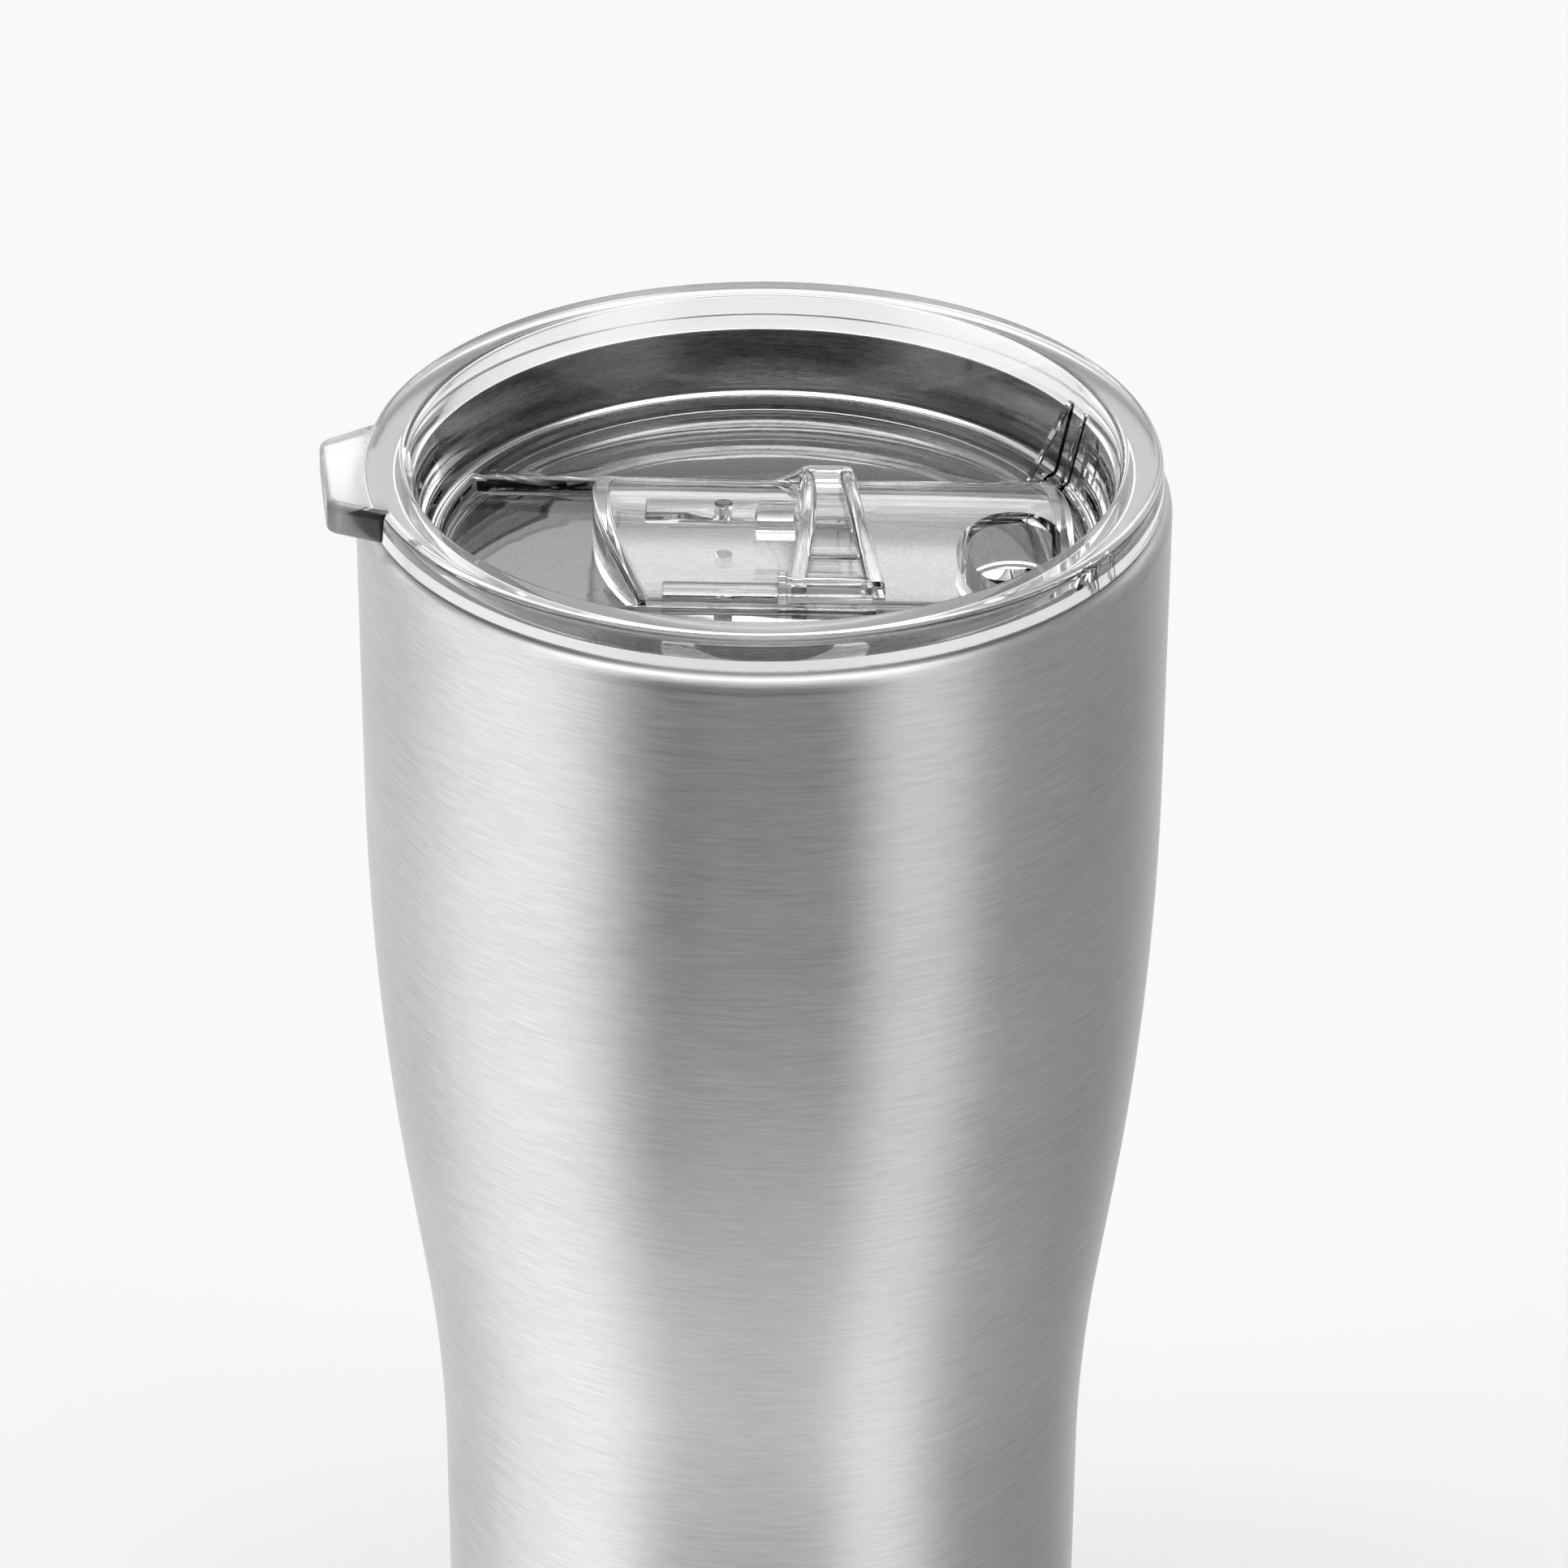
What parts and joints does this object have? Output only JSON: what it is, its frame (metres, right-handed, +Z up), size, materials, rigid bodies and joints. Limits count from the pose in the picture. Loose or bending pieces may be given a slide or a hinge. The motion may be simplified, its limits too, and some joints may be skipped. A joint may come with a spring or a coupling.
{
  "type": "insulated tumbler with lid",
  "caption": "Double-walled steel tumbler with a waisted body, a clear press-in lid with a pull tab, and a sliding closure over the sip hole.",
  "frame": {"origin": "centre of the standing ring under the base, on the cup's axis", "axes": "+Z up along the cup's axis; +X towards the sip hole, so the pull tab is at -X; the closure slides along X"},
  "size_m": [0.1055, 0.1008, 0.2],
  "materials": {
    "shell_steel": "satin",
    "rim_steel": "polished",
    "liner_steel": "satin",
    "cap_steel": "satin",
    "clip_steel": "satin",
    "sealing_glass": "gloss",
    "getter_metal": "matte",
    "foil": "satin",
    "clear_lid": "gloss",
    "clear_slider": "gloss",
    "clear_silicone": "satin"
  },
  "bodies": {
    "tumbler": {"outer_shell": "shell_steel", "rim_weld": "rim_steel", "inner_liner": "liner_steel", "inner_base": "liner_steel", "outer_base": "shell_steel", "vacuum_seal": "sealing_glass", "base_cap": "cap_steel", "getter_clip": "clip_steel", "getter": "getter_metal", "radiation_foil": "foil"},
    "lid": {"lid_body": "clear_lid", "lid_gasket": "clear_silicone"},
    "slider": {"slider_plate": "clear_slider", "thumb_grip": "clear_slider"}
  },
  "joints": [
    {"name": "lid_lift", "type": "slide", "parent": "tumbler", "child": "lid", "axis": [0, 0, 1], "range_m": [0, 0.04]},
    {"name": "slider_slide", "type": "slide", "parent": "lid", "child": "slider", "axis": [-1, 0, 0], "range_m": [0, 0.015]}
  ]
}
